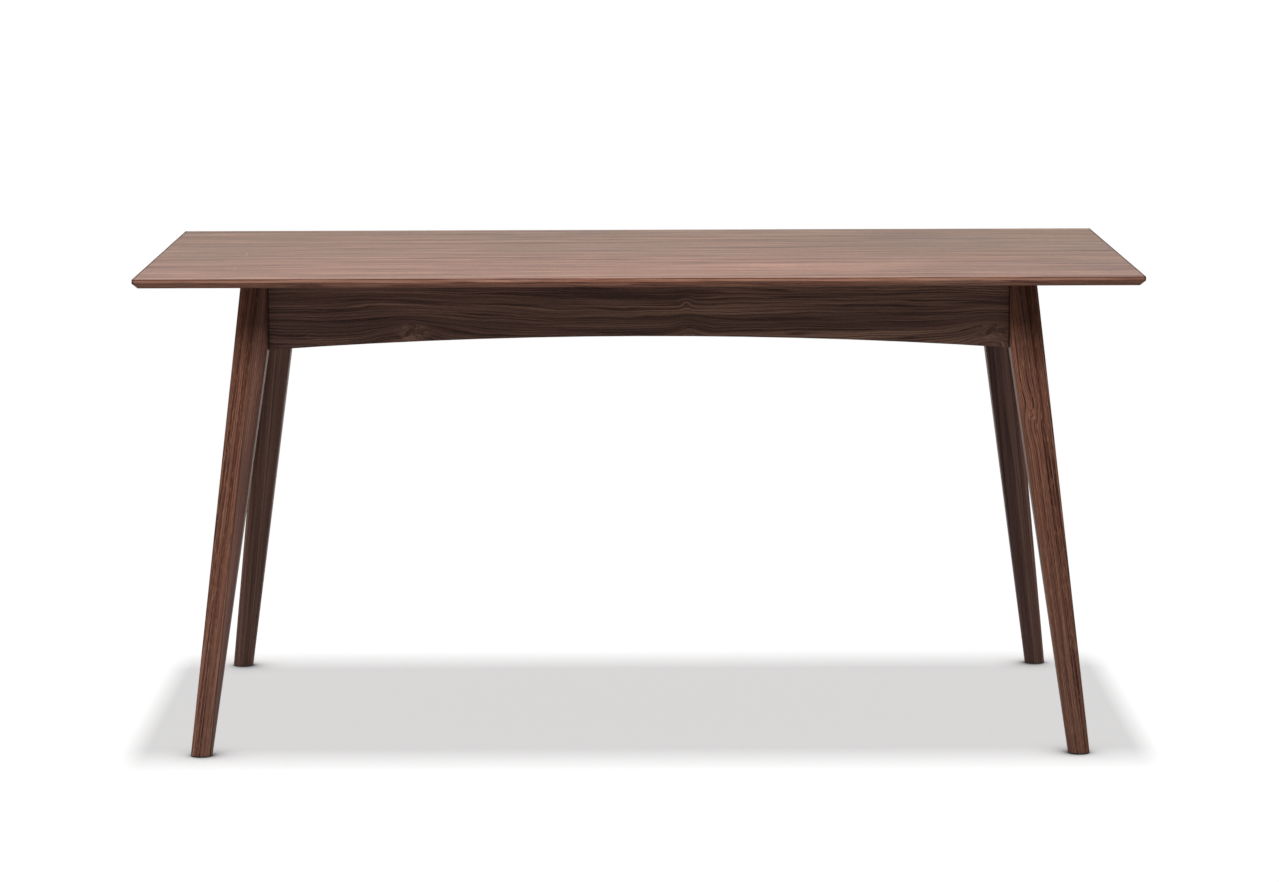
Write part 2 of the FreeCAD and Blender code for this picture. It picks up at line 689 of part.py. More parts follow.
def build_top_form():
    """Outer form of the whole top: undercut all round, upper edge rounded."""
    body = new_body("top_form")
    sketch = new_sketch(body, "top_outline", at=("0", "0", UNDERSIDE))
    draw_rectangle(sketch, (f"-{HALF_LENGTH}", HALF_LENGTH), (f"-{HALF_WIDTH}", HALF_WIDTH))
    slab = pad(body, "slab", sketch, "Sizes.top_thickness")
    low, high = value(UNDERSIDE), value("Sizes.table_height")
    lower = edges_where(slab.Shape, lambda edge: is_level(edge, low))
    bevel = bevel_edges(body, "undercut", slab, lower, "Sizes.bevel_size")
    upper = edges_where(bevel.Shape, lambda edge: is_level(edge, high))
    round_edges(body, "upper_edge", bevel, upper, "Sizes.top_rounding")
    return body


def build_box(name, half_x, half_y, bottom, height):
    """A box over the middle of the table, from expressions."""
    box = doc.addObject("Part::Box", name)
    box.Label = name
    box.setExpression("Length", f"2 * {half_x}")
    box.setExpression("Width", f"2 * {half_y}")
    box.setExpression("Height", height)
    box.setExpression("Placement.Base.x", f"-{half_x}")
    box.setExpression("Placement.Base.y", f"-{half_y}")
    box.setExpression("Placement.Base.z", bottom)
    return box


def build_mitred_strip(label, outline):
    """An upright prism between the veneers, over one mitred lipping's plan."""
    body = new_body(f"{label}_plan")
    sketch = new_sketch(body, "mitred_plan", at=("0", "0", CORE_BOTTOM))
    draw_polygon(sketch, outline)
    pad(body, "strip", sketch, CORE_HEIGHT)
    return body


def common(label, base, tool):
    """What two objects share."""
    shared = doc.addObject("Part::Common", label)
    shared.Base = base
    shared.Tool = tool
    shared.Label = label
    return shared


def build_top():
    """Core, veneers and four mitred lippings. All but the core are cut from the top's one form."""
    form = build_top_form()
    veneers = [
        ("tabletop_face_veneer", "Sizes.table_height - Sizes.veneer_thickness"),
        ("tabletop_backing_veneer", UNDERSIDE),
    ]
    pieces = []
    for label, bottom in veneers:
        layer = build_box(f"{label}_layer", HALF_LENGTH, HALF_WIDTH, bottom, "Sizes.veneer_thickness")
        pieces.append(common(label, form, layer))

    inner_x = f"({HALF_LENGTH} - Sizes.lipping_width)"
    inner_y = f"({HALF_WIDTH} - Sizes.lipping_width)"
    pieces.append(build_box("tabletop_core", inner_x, inner_y, CORE_BOTTOM, CORE_HEIGHT))

    for label, sign in (("front_lipping", "-"), ("back_lipping", "")):
        outline = [
            (f"-{HALF_LENGTH}", f"{sign}{HALF_WIDTH}"),
            (HALF_LENGTH, f"{sign}{HALF_WIDTH}"),
            (inner_x, f"{sign}{inner_y}"),
            (f"-{inner_x}", f"{sign}{inner_y}"),
        ]
        pieces.append(common(label, form, build_mitred_strip(label, outline)))
    for label, sign in (("left_lipping", "-"), ("right_lipping", "")):
        outline = [
            (f"{sign}{HALF_LENGTH}", f"-{HALF_WIDTH}"),
            (f"{sign}{HALF_LENGTH}", HALF_WIDTH),
            (f"{sign}{inner_x}", inner_y),
            (f"{sign}{inner_x}", f"-{inner_y}"),
        ]
        pieces.append(common(label, form, build_mitred_strip(label, outline)))
    return pieces


# ---------------------------------------------------------------- the table

sub_parts = [build_hanger_bolts(), build_washers(), build_nuts(), build_glides()]
for corner in CORNERS:
    sub_parts.append(build_leg(*corner))
    sub_parts.append(build_corner_block(*corner))
sub_parts.extend(build_aprons())
sub_parts.append(build_cross_rail("left_cross_rail", -1))
sub_parts.append(build_cross_rail("right_cross_rail", 1))
sub_parts.extend(build_top())

doc.recompute()
failed = [item.Name for item in doc.Objects if {"Invalid", "Error"} & set(item.State)]
failed += [item.Label for item in sub_parts if item.Shape.isNull() or not item.Shape.isValid()]
if failed:
    raise RuntimeError(f"these objects failed: {failed}")

os.makedirs("parts", exist_ok=True)
for item in sub_parts:
    item.Shape.exportStep(os.path.join("parts", f"{item.Label}.step"))
    box = item.Shape.BoundBox
    print(
        f"{item.Label:26s} solids {len(item.Shape.Solids):2d}"
        f"  x {box.XMin:8.1f} {box.XMax:8.1f}"
        f"  y {box.YMin:7.1f} {box.YMax:7.1f}"
        f"  z {box.ZMin:6.1f} {box.ZMax:6.1f}"
    )
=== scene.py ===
import math
import random
from collections import namedtuple

import bmesh
import bpy
from mathutils import Matrix, Vector


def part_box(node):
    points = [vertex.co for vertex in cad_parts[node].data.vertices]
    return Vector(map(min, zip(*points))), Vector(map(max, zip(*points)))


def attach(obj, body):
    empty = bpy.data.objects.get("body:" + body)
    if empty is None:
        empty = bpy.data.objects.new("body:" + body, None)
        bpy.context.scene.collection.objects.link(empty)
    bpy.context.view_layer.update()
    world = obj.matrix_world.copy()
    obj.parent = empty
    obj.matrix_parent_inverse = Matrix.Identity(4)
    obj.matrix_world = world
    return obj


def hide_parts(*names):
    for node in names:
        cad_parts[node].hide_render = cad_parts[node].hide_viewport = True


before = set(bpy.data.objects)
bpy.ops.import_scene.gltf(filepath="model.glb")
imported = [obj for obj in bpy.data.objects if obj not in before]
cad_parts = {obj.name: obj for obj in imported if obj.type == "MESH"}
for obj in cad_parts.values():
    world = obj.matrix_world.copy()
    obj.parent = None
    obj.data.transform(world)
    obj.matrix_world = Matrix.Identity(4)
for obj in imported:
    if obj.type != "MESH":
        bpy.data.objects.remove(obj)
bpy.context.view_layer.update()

# The looks of a walnut dining table: the wood of its CAD solids, the threads of its hanger bolts,
# its nuts, wood screws and glides, and the studio round it. Metres. X along the table, front at
# -Y, Z up, origin on the floor under the middle of the top.

scene = bpy.context.scene

# ---------------------------------------------------------------------------------------------
# Sizes of the table, from the frame or as the CAD source names them
# ---------------------------------------------------------------------------------------------
TABLE_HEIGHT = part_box("tabletop_face_veneer")[1].z
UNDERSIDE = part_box("tabletop_backing_veneer")[0].z
HALF_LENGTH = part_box("right_lipping")[1].x
HALF_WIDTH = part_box("back_lipping")[1].y
BEVEL_SIZE = 0.0085
UNDERCUT = UNDERSIDE + BEVEL_SIZE  # upper edge of the undercut
FOOT_INSET_X, FOOT_INSET_Y = 0.093, 0.0345
FOOT_X, FOOT_Y = HALF_LENGTH - FOOT_INSET_X, HALF_WIDTH - FOOT_INSET_Y
FOOT_RADIUS = 0.0175
LEG_HALF_WIDTH = 0.0295  # under the top
SPLAY_ANGLE = 7.3
LEAN = math.tan(math.radians(SPLAY_ANGLE))  # shift of a leg's middle in a metre of height

CORNERS = (
    ("back_right", 1, 1),
    ("back_left", -1, 1),
    ("front_left", -1, -1),
    ("front_right", 1, -1),
)


def linear(red, green, blue):
    """A colour written as 0 to 255, in the linear values that shaders take."""

    def one(level):
        level /= 255
        return level / 12.92 if level <= 0.04045 else ((level + 0.055) / 1.055) ** 2.4

    return (one(red), one(green), one(blue), 1.0)


WHITE, BLACK = (1, 1, 1, 1), (0, 0, 0, 1)


# ---------------------------------------------------------------------------------------------
# Shader helpers
# ---------------------------------------------------------------------------------------------
class Shader:
    """Adds and joins the nodes of a material, or of the world."""

    def __init__(self, owner, output="ShaderNodeOutputMaterial"):
        owner.use_nodes = True
        self.owner = owner
        self.nodes, self.links = owner.node_tree.nodes, owner.node_tree.links
        self.nodes.clear()
        self.output = self.nodes.new(output)

    def node(self, kind, inputs=(), **settings):
        """A node. Inputs are numbers, colours or sockets, by name or index."""
        made = self.nodes.new(kind)
        for key, setting in settings.items():
            setattr(made, key, setting)
        for key, source in dict(inputs).items():
            if isinstance(source, bpy.types.NodeSocket):
                self.links.new(source, made.inputs[key])
            else:
                made.inputs[key].default_value = source
        return made

    def show(self, result):
        """Joins the last shader to the output."""
        self.links.new(result, self.output.inputs[0])
        return self.owner

    def math(self, operation, *values):
        return self.node("ShaderNodeMath", dict(enumerate(values)), operation=operation).outputs[0]

    def total(self, first, *others):
        for other in others:
            first = self.math("ADD", first, other)
        return first

    def product(self, first, *others):
        for other in others:
            first = self.math("MULTIPLY", first, other)
        return first

    def minus(self, value, other):
        return self.math("SUBTRACT", value, other)

    def magnitude(self, value):
        return self.math("ABSOLUTE", value)

    def most(self, value, other):
        return self.math("MAXIMUM", value, other)

    def centred(self, noise, spread):
        """Turns a noise from 0 to 1 into one round 0, spread wide."""
        return self.product(self.minus(noise, 0.5), spread)

    def vector(self, x, y, z):
        return self.node("ShaderNodeCombineXYZ", {0: x, 1: y, 2: z}).outputs[0]

    def noise(self, vector, scale=1.0, detail=2.0, roughness=0.5, distortion=0.0):
        inputs = {
            "Vector": vector,
            "Scale": scale,
            "Detail": detail,
            "Roughness": roughness,
            "Distortion": distortion,
        }
        return self.node("ShaderNodeTexNoise", inputs).outputs[0]

    def grain(self, first, second, third, detail=2.0, roughness=0.5):
        """Noise with its own fineness on each axis, (distance, cells in a metre), or a seed."""
        axes = [
            self.product(*axis) if isinstance(axis, tuple) else axis
            for axis in (first, second, third)
        ]
        return self.noise(self.vector(*axes), 1.0, detail, roughness)

    def remap(self, value, low, high, new_low=0.0, new_high=1.0, **settings):
        """Turns low to high into new_low to new_high, and holds those beyond."""
        inputs = {0: value, 1: low, 2: high, 3: new_low, 4: new_high}
        return self.node("ShaderNodeMapRange", inputs, clamp=True, **settings).outputs[0]

    def smooth(self, value, low, high, new_low=0.0, new_high=1.0):
        """As remap, along an S curve."""
        return self.remap(value, low, high, new_low, new_high, interpolation_type="SMOOTHSTEP")

    def hairline(self, offset, reach):
        """1 where offset is 0, and 0 from reach on either side of it."""
        return self.smooth(self.magnitude(offset), 0.0, reach, 1.0, 0.0)

    def ramp(self, value, stops):
        made = self.node("ShaderNodeValToRGB", {0: value})
        elements = made.color_ramp.elements
        while len(elements) < len(stops):
            elements.new(0.5)
        for element, (position, colour) in zip(elements, stops):
            element.position = position
            element.color = colour
        return made.outputs[0]

    def mix(self, factor, first, second, blend="MIX"):
        inputs = {0: factor, 6: first, 7: second}
        settings = {"data_type": "RGBA", "blend_type": blend, "clamp_factor": True}
        return self.node("ShaderNodeMix", inputs, **settings).outputs[2]

    def tint(self, colour, factor):
        """A colour times another."""
        return self.mix(1.0, colour, factor, "MULTIPLY")

    def shade(self, colour, value):
        """A colour times a number."""
        grey = self.node("ShaderNodeCombineColor", {0: value, 1: value, 2: value}).outputs[0]
        return self.tint(colour, grey)

    def place(self):
        """X, Y and Z of the point, in metres."""
        found = self.node("ShaderNodeTexCoord").outputs["Object"]
        return self.node("ShaderNodeSeparateXYZ", {0: found}).outputs

    def looked_at(self):
        """1 for rays of the camera, of gloss and of glass, and 0 for those that carry light."""
        path = self.node("ShaderNodeLightPath").outputs
        mirrored = self.most(path["Is Glossy Ray"], path["Is Transmission Ray"])
        return self.most(path["Is Camera Ray"], mirrored)

    def blend(self, factor, first, second):
        """A shader between two."""
        return self.node("ShaderNodeMixShader", {0: factor, 1: first, 2: second}).outputs[0]

    def finish(self, colour, roughness, bump, **fixed):
        """The principled shader at the end. bump is (height in metres, strength)."""
        height, strength = bump
        raised = {"Height": height, "Strength": strength, "Distance": 1.0}
        normal = self.node("ShaderNodeBump", raised).outputs[0]
        inputs = {"Base Color": colour, "Roughness": roughness, **fixed, "Normal": normal}
        return self.show(self.node("ShaderNodeBsdfPrincipled", inputs).outputs[0])


def new_material(name):
    """The shader of a new material."""
    return Shader(bpy.data.materials.new(name))


# ---------------------------------------------------------------------------------------------
# Walnut
# ---------------------------------------------------------------------------------------------
class Looks:
    """One cut of wood: its colours, and how strongly each kind of mark shows."""

    def __init__(self, dark, middle, light, **changes):
        self.dark, self.middle, self.light = dark, middle, light
        self.vein = linear(52, 34, 28)  # colour of the growth lines
        self.fleck = linear(190, 138, 104)
        self.band = 0.030  # width of the broad bands, in metres
        self.line = 0.010  # spacing of the growth lines
        self.vein_start = 0.45  # part of a ring's width that stays clear
        self.fine = 0.0022  # width of the finer lines
        self.vein_depth = 0.55
        self.fine_depth = 0.30
        self.fibre_depth = 0.14
        self.fleck_depth = 0.10
        self.fleck_run = 110.0  # flecks in a metre along the board
        self.pore_depth = 0.35
        self.wander = 0.05  # how far the growth lines stray, slowly and in ripples
        self.ripple = 0.004
        self.tilt = 0.35  # how far they lean into the board
        self.tone = 0.10
        self.matt_side = 0.0  # a leg's outer side is rubbed duller by this much
        self.stretch = 1.0  # above 1, the bands and lines are shorter along the board
        self.roughness = 0.46
        self.specular = 0.10
        for key, setting in changes.items():
            setattr(self, key, setting)


# A spot of a board: its place, its reach along and width across, and how far it lifts the grain.
Spot = namedtuple("Spot", "along across reach width lift", defaults=(0.0,))


def from_spot(s, along, across, spot):
    """Distances from a spot, in its reach and its width, and the sum of their squares."""
    run = s.math("DIVIDE", s.minus(along, spot.along), spot.reach)
    rise = s.math("DIVIDE", s.minus(across, spot.across), spot.width)
    return run, rise, s.total(s.product(run, run), s.product(rise, rise))


def bell(s, along, across, spot):
    """1 at a spot of the board and 0 away from it."""
    square = from_spot(s, along, across, spot)[2]
    return s.math("POWER", math.e, s.product(square, -1.0))


def heart(s, colour, along, across, spot, looks, seed):
    """The figure of a small knot: a pale mottled patch with dark swirls, fading outwards."""
    run, rise, square = from_spot(s, along, across, spot)
    ragged = s.noise(s.vector(run, rise, seed + 23.0), scale=1.4, detail=3.0, roughness=0.6)
    far = s.total(s.math("SQRT", square), s.centred(ragged, 1.4))
    inside = s.smooth(far, 0.45, 1.10, 1.0, 0.0)
    curls = {"scale": 2.3, "detail": 3.0, "roughness": 0.65, "distortion": 1.2}
    mottle = s.noise(s.vector(run, rise, seed + 29.0), **curls)
    patch = s.ramp(mottle, [(0.36, looks.dark), (0.46, looks.middle), (0.58, looks.light)])
    return s.mix(s.product(inside, 0.95), colour, patch)


def rings(s, along, across, depth, knots, looks, seed):
    """Distance across the growth rings. They lean, stray and ripple, and bend round the knots."""
    slow = s.grain((along, 1.3), (across, 5.0), seed)
    quick = s.grain((along, 11.0), (across, 50.0), seed + 3.0)
    lift, swirl = 0.0, 1.0
    for knot in knots:
        lift = s.total(s.product(bell(s, along, across, knot), knot.lift), lift)
        core = knot._replace(reach=0.5 * knot.reach, width=0.4 * knot.width)
        swirl = s.total(s.product(bell(s, along, across, core), 3.0), swirl)
    ripple = s.product(s.centred(quick, 2 * looks.ripple), swirl)
    leaning = s.product(depth, looks.tilt)
    return s.minus(s.total(across, leaning, s.centred(slow, looks.wander), ripple), lift)


def figure(s, run, ring, looks, seed):
    """The colour of bands and lines, and the noise of the finer lines. run is the distance along
    the board, times its stretch."""
    bands = s.grain((run, 0.7), (ring, 1 / looks.band), seed + 7.0, detail=3.0, roughness=0.6)
    colour = s.ramp(bands, [(0.32, looks.dark), (0.50, looks.middle), (0.68, looks.light)])
    # Growth lines: each ring darkens towards its end, and some rings are stronger.
    wave = s.grain((run, 1.1), (ring, 0.45 / looks.line), seed + 11.0)
    phase = s.total(s.product(ring, 1 / looks.line), s.product(wave, 5.0))
    turn = s.math("FRACT", phase)
    rising = s.smooth(turn, looks.vein_start, 0.88)
    falling = s.smooth(turn, 0.90, 1.0, 1.0, 0.0)
    strength = s.grain((run, 2.6), (s.math("FLOOR", phase), 3.7), seed + 13.0)
    vein = s.product(rising, falling, s.smooth(strength, 0.18, 0.52))
    colour = s.mix(s.product(vein, looks.vein_depth), colour, looks.vein)
    # Finer lines between them, light and dark.
    fine = s.grain((run, 3.0), (ring, 1 / looks.fine), seed + 17.0, detail=3.0, roughness=0.65)
    streak = s.remap(fine, 0.28, 0.72, 1 - looks.fine_depth, 1 + looks.fine_depth)
    return s.shade(colour, streak), fine


def wood(name, looks, board, knots=(), hearts=(), seam=None, finish=None, seed=0.0):
    """A wood material. board gives the distances along, across and into the board."""
    s = new_material(name)
    along, across, depth = board(s, *s.place())
    ring = rings(s, along, across, depth, knots, looks, seed)
    colour, fine = figure(s, s.product(along, looks.stretch), ring, looks, seed)
    for spot in hearts:
        colour = heart(s, colour, along, across, spot, looks, seed)

    fibres = s.grain((along, 16.0), (ring, 1100.0), (depth, 700.0), roughness=0.7)
    fibre = s.remap(fibres, 0.25, 0.75, 1 - looks.fibre_depth, 1 + looks.fibre_depth)
    colour = s.shade(colour, fibre)
    flecks = s.grain((along, looks.fleck_run), (ring, 800.0), (depth, 500.0), detail=1.0)
    fleck = s.smooth(flecks, 0.56, 0.70)
    colour = s.mix(s.product(fleck, looks.fleck_depth), colour, looks.fleck)
    pores = s.grain((along, 130.0), (ring, 2900.0), (depth, 1700.0), detail=0.0)
    pore = s.smooth(pores, 0.64, 0.72)
    colour = s.mix(s.product(pore, looks.pore_depth), colour, looks.vein)
    # A slow change of tone along the board.
    tone = s.noise(s.vector(along, s.product(across, 2.0), seed + 19.0), scale=1.7)
    colour = s.shade(colour, s.remap(tone, 0.3, 0.7, 1 - looks.tone, 1 + looks.tone))

    if seam:
        colour = seam(s, colour, along, across)
    uneven = (s.centred(fibres, 0.14), s.product(pore, 0.15), s.centred(tone, 0.10))
    rough = s.total(looks.roughness, *uneven)
    if looks.matt_side:
        rough = s.total(rough, s.smooth(across, 0.0, 0.014, 0.0, looks.matt_side))
    if finish:
        colour, rough = finish(s, colour, rough)
    # Fibres and finer lines stand up, in metres, and pores are sunk.
    relief = (s.product(fibres, 0.000022), s.product(pore, -0.00005), s.product(fine, 0.00002))
    gloss = {"Specular IOR Level": looks.specular, "IOR": 1.5}
    return s.finish(colour, rough, (s.total(*relief), 0.6), **gloss)


def flat_board(s, x, y, z):
    """A board along X, seen from above or below."""
    return x, y, z


def front_board(s, x, y, z):
    """A board along X, seen from the front or back."""
    return x, z, y


def end_board(s, x, y, z):
    """A board along Y, seen from an end of the table."""
    return y, z, x


def leg_board(side_x, side_y):
    """A leg: the grain follows its lean. Distances grow outwards from its middle."""

    def board(s, x, y, z):
        drop = s.product(z, LEAN)
        across = s.total(s.product(x, side_x), drop, -FOOT_X)
        depth = s.total(s.product(y, side_y), drop, -FOOT_Y)
        return z, across, depth

    return board


def glue_line(s, colour, along, across):
    """The inner lamination of a leg: calmer and greyer, with a dark line where it is glued on."""
    # The joint starts 14.2 mm inside the leg's middle and nears it by 16.4 mm in a metre.
    offset = s.total(across, 0.0142, s.product(along, -0.0164))
    low = s.smooth(along, 0.42, 0.62, 1.0, 0.45)
    inner = s.product(s.smooth(offset, -0.0006, 0.0006, 1.0, 0.0), low)
    calm = s.mix(0.75, colour, linear(128, 97, 88))
    calm = s.shade(calm, s.smooth(along, 0.28, 0.48, 1.0, 0.79))
    line = s.product(s.hairline(offset, 0.0013), low, 0.75)
    return s.mix(line, s.mix(inner, colour, calm), linear(52, 34, 28))


def heartwood(s, colour, along, across):
    """A leg cut where sapwood and heartwood meet: its inner part is darker."""
    # The border starts 7.5 mm inside the leg's middle and moves outwards by 12 mm in a metre.
    offset = s.total(across, 0.0075, s.product(along, -0.0120))
    inner = s.smooth(offset, -0.0015, 0.0015, 1.0, 0.0)
    return s.mix(inner, colour, s.tint(colour, (0.72, 0.72, 0.76, 1)))


def scratch(s, x, y, at, start, end):
    """A hairline across the top at x = at, from y = start to y = end."""
    begun = s.smooth(y, start, start + 0.01)
    unfinished = s.smooth(y, end - 0.01, end, 1.0, 0.0)
    return s.product(s.hairline(s.minus(x, at), 0.0011), s.product(begun, unfinished))


# Hairlines across the top: x, and y from and to.
SCRATCHES = ((-0.6515, -0.275, -0.215), (-0.654, -0.05, 0.02))
# Tints of the leaves of veneer, from the front of the top, 0, to its back, 1: partly the leaves' own tones,
# partly painted shade that darkens and greys the top towards its back.
LEAF_TINTS_AND_PAINTED_SHADE = (
    (0.10, (1.02, 1.07, 1.10, 1)),
    (0.30, (1.00, 1.06, 1.09, 1)),
    (0.36, (0.93, 1.00, 1.00, 1)),
    (0.62, (0.89, 0.98, 0.97, 1)),
    (0.68, (0.86, 0.94, 0.90, 1)),
    (1.00, (0.84, 0.93, 0.88, 1)),
)


def top_finish(s, colour, rough):
    """Leaves of veneer that differ a little, with painted shade that darkens and greys the top towards its
    back, painted shade on its right part, a dark line along each end of the veneer, and hairlines."""
    x, y, _ = s.place()
    sway = s.grain((x, 1.1), (y, 3.0), 71.0)
    leaf_and_shade_place = s.total(y, s.centred(sway, 0.10))
    # Leaf tints, with painted shade that darkens and greys the top towards its back.
    colour = s.tint(colour, s.ramp(s.remap(leaf_and_shade_place, -HALF_WIDTH, HALF_WIDTH), LEAF_TINTS_AND_PAINTED_SHADE))
    # Painted shade: the top's right part is darker.
    colour = s.shade(colour, s.smooth(x, 0.05, 0.75, 1.0, 0.88))
    ends = s.smooth(s.magnitude(x), HALF_LENGTH - 0.0034, HALF_LENGTH - 0.0022)
    colour = s.mix(s.product(ends, 0.8), colour, linear(52, 38, 33))
    rough = s.total(rough, s.product(ends, 0.5))
    marks = s.most(*(scratch(s, x, y, *line) for line in SCRATCHES))
    return s.mix(s.product(marks, 0.45), colour, linear(205, 178, 160)), rough


PALE_SPOT = -0.05  # x of a paler place of the edge


def edge_finish(s, colour, rough):
    """The top's edge: painted shade in dark lines along its arris and along the undercut, and a painted
    highlight in a paler band between them.
    """
    x, y, z = s.place()
    highlight_patches = s.grain((x, 9.0), (y, 9.0), 73.0, detail=3.0)
    shade_patches = s.grain((x, 7.0), (y, 7.0), 79.0, detail=3.0)
    # Painted highlight: a paler band on the edge's upright face, between the arris and the undercut.
    above = s.smooth(z, UNDERCUT + 0.0006, UNDERCUT + 0.0016)
    below = s.smooth(z, TABLE_HEIGHT - 0.0026, TABLE_HEIGHT - 0.0018, 1.0, 0.0)
    band = s.product(above, below, s.smooth(highlight_patches, 0.38, 0.62, 0.05, 0.30))
    colour = s.mix(band, colour, linear(226, 180, 158))
    # Painted shade: a dark line along the arris.
    arris = s.smooth(z, TABLE_HEIGHT - 0.0022, TABLE_HEIGHT - 0.0014)
    arris = s.product(arris, s.smooth(shade_patches, 0.30, 0.60, 0.35, 0.80))
    colour = s.mix(arris, colour, linear(92, 50, 38))
    # Painted shade: a dark line along the undercut.
    line = s.hairline(s.minus(z, UNDERCUT), 0.0011)
    line = s.product(line, s.smooth(shade_patches, 0.40, 0.66, 0.65, 0.25))
    colour = s.mix(line, colour, linear(70, 40, 30))
    # Darker towards the ends, and paler at one place.
    out = s.magnitude(x)
    paler_place = s.smooth(s.magnitude(s.minus(x, PALE_SPOT)), 0.03, 0.10, 1.13, 1.0)
    colour = s.shade(colour, s.product(s.smooth(out, 0.25, 0.70, 0.985, 0.875), paler_place))
    # Painted shade where the undercut meets the underside, and dark at the very ends.
    under = s.smooth(z, UNDERSIDE + 0.0002, UNDERSIDE + 0.0050, 0.40, 0.0)
    tip = s.smooth(out, HALF_LENGTH - 0.0045, HALF_LENGTH - 0.0010, 0.0, 0.75)
    return s.mix(s.most(under, tip), colour, linear(66, 42, 34)), rough


def apron_finish(end):
    """A darker right part, and painted shadow in lines where an apron's ends meet the legs, end metres from
    the middle along X or Y."""

    def finish(s, colour, rough):
        x, y, _ = s.place()
        # Painted shadow in the gap where an apron's end meets a leg.
        shadow_gap = s.smooth(s.most(s.magnitude(x), s.magnitude(y)), end - 0.0032, end - 0.0008, 0.0, 0.85)
        colour = s.shade(colour, s.smooth(x, 0.30, 0.60, 1.0, 0.93))
        return s.mix(shadow_gap, colour, linear(30, 20, 17)), rough

    return finish


def leg_finish(board, leg):
    """A tint towards the foot, painted light on the outer half, painted shade along its outer edge, and
    painted shade under the top.
    """

    def finish(s, colour, rough):
        along, across, _ = board(s, *s.place())
        half_width = s.remap(along, 0.0, UNDERSIDE, FOOT_RADIUS, LEG_HALF_WIDTH)
        side = s.math("DIVIDE", across, half_width)
        low = s.smooth(along, 0.02, 0.42, 1.0, 0.0)
        colour = s.tint(colour, s.mix(low, WHITE, leg.foot_tint))
        # Painted shade along the outer edge, and painted light on the outer half.
        edge = s.smooth(side, 0.87, 1.0, 1.0, 0.70)
        outer = s.product(s.smooth(side, 0.1, 0.6, 1.0, leg.outer_gain), edge)
        # Painted shade under the top, most on the outer half.
        high = s.product(s.smooth(side, -0.8, 0.6), s.smooth(along, 0.55, 0.70))
        return s.shade(colour, s.minus(outer, s.product(high, leg.top_shade))), rough

    return finish


TOP_LOOKS = Looks(
    linear(106, 69, 53), linear(147, 103, 84), linear(180, 134, 111),
    band=0.024, line=0.0085, vein_depth=0.24, fine=0.010, fine_depth=0.38,
    wander=0.012, ripple=0.0012, stretch=2.6, fleck_depth=0.05, specular=0.2,
)
EDGE_LOOKS = Looks(
    linear(152, 100, 82), linear(182, 129, 108), linear(210, 160, 137),
    vein=linear(74, 40, 32), band=0.008, line=0.0036, vein_depth=0.60, fine=0.0016,
    fine_depth=0.50, wander=0.012, ripple=0.0022, fleck_depth=0.25, stretch=3.5, tone=0.05,
)
APRON_LOOKS = Looks(
    linear(92, 66, 61), linear(133, 101, 88), linear(164, 128, 109),
    vein=linear(42, 26, 23), vein_depth=0.70, vein_start=0.50, fine_depth=0.85,
    line=0.0056, fine=0.0019, stretch=1.3, ripple=0.0042,
)
LEG_LOOKS = Looks(
    linear(100, 62, 51), linear(140, 94, 77), linear(176, 124, 101),
    band=0.011, line=0.0036, vein_depth=0.95, vein_start=0.58, fine=0.0012, fine_depth=0.65,
    wander=0.004, ripple=0.0005, fleck_depth=0.42, fleck_run=60.0, specular=0.07,
    matt_side=0.35,
)
BACK_LEG_LOOKS = Looks(
    linear(114, 84, 75), linear(150, 115, 105), linear(172, 135, 124),
    band=0.014, line=0.008, vein_depth=0.5, fine=0.0020, fine_depth=0.35,
    wander=0.004, ripple=0.0005, fleck_depth=0.15, specular=0.07, matt_side=0.35,
)
PALE_LEG_LOOKS = Looks(
    linear(120, 89, 78), linear(160, 123, 111), linear(182, 144, 130),
    band=0.014, line=0.008, vein_depth=0.45, fine=0.0020, fine_depth=0.30,
    wander=0.004, ripple=0.0005, fleck_depth=0.15, specular=0.07, matt_side=0.35,
)
# The plain wood inside the frame.
FRAME_LOOKS = Looks(
    linear(150, 118, 86), linear(172, 140, 106), linear(188, 158, 124),
    vein=linear(128, 94, 64), fleck=linear(206, 178, 142), vein_depth=0.4, fine_depth=0.08,
    line=0.007,
)


def dress(node, material):
    """Gives a CAD node its material."""
    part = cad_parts[node]
    part.data.materials.clear()
    part.data.materials.append(material)


# The top.
dress("tabletop_face_veneer", wood("walnut_top", TOP_LOOKS, flat_board, finish=top_finish, seed=2.0))
dress("tabletop_backing_veneer", wood("walnut_backing", TOP_LOOKS, flat_board, seed=50.0))
dress("tabletop_core", wood("core", FRAME_LOOKS, flat_board, seed=60.0))
LIPPINGS = (
    # node, board, seed of its grain
    ("front_lipping", front_board, 17.0),
    ("back_lipping", front_board, 16.0),
    ("left_lipping", end_board, 20.0),
    ("right_lipping", end_board, 21.0),
)
for node, board, seed in LIPPINGS:
    dress(node, wood(f"walnut_{node}", EDGE_LOOKS, board, finish=edge_finish, seed=seed))

